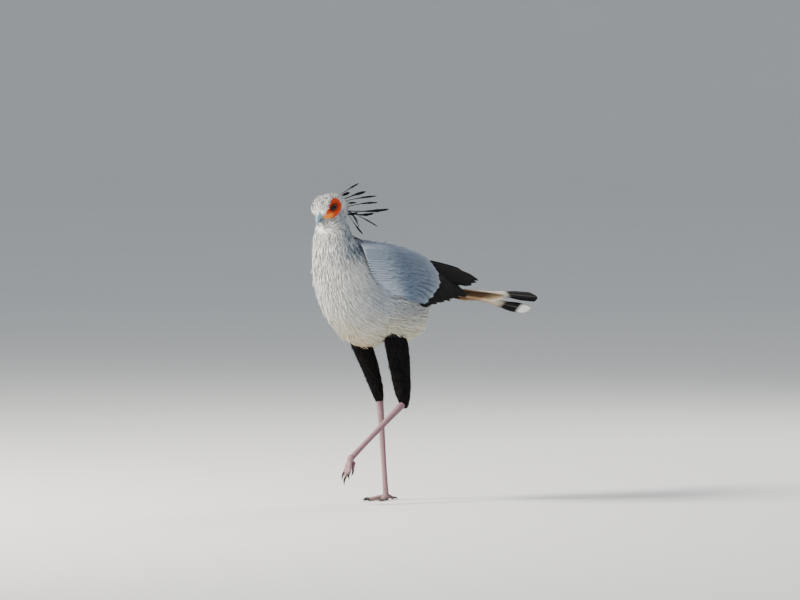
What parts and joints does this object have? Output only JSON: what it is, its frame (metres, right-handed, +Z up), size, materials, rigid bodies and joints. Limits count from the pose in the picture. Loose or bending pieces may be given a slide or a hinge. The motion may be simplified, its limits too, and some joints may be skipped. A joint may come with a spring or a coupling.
{
  "type": "secretary bird figure",
  "caption": "Life-size secretary bird in mid stride, with a black crest, orange face and black thighs.",
  "frame": {"origin": "on the floor under the ball of the standing right foot", "axes": "+Z up, -Y the way the bird faces, +X its left side"},
  "size_m": [0.262, 1.0429, 1.0492],
  "materials": {
    "white_feather": "white and pale grey body feathers",
    "grey_feather": "blue-grey wing coverts",
    "black_feather": "black flight, thigh and crest feathers",
    "tail_feather": "buff tail feathers with black band and white tip",
    "face_skin": "bare orange-red skin",
    "cere": "yellowish cere",
    "bill": "blue-grey horn",
    "eye": "dark brown, wet",
    "leg_skin": "pink-mauve scaled skin",
    "claw": "black horn"
  },
  "bodies": {
    "root": {"torso": "white_feather", "neck_lower": "white_feather", "neck_upper": "white_feather", "head": "white_feather", "face_left": "face_skin", "eye_left": "eye", "face_right": "face_skin", "eye_right": "eye", "cere": "cere", "bill_upper": "bill", "bill_lower": "bill", "crest": "black_feather", "wing_left_coverts": "grey_feather", "wing_left_secondaries": "black_feather", "wing_left_primaries": "black_feather", "wing_right_coverts": "grey_feather", "wing_right_secondaries": "black_feather", "wing_right_primaries": "black_feather", "tail": "tail_feather", "thigh_left": "black_feather", "shank_left": "leg_skin", "foot_left": "leg_skin", "toe_left_middle": "leg_skin", "claw_left_middle": "claw", "toe_left_inner": "leg_skin", "claw_left_inner": "claw", "toe_left_outer": "leg_skin", "claw_left_outer": "claw", "toe_left_hind": "leg_skin", "claw_left_hind": "claw", "thigh_right": "black_feather", "shank_right": "leg_skin", "foot_right": "leg_skin", "toe_right_middle": "leg_skin", "claw_right_middle": "claw", "toe_right_inner": "leg_skin", "claw_right_inner": "claw", "toe_right_outer": "leg_skin", "claw_right_outer": "claw", "toe_right_hind": "leg_skin", "claw_right_hind": "claw"}
  },
  "joints": []
}
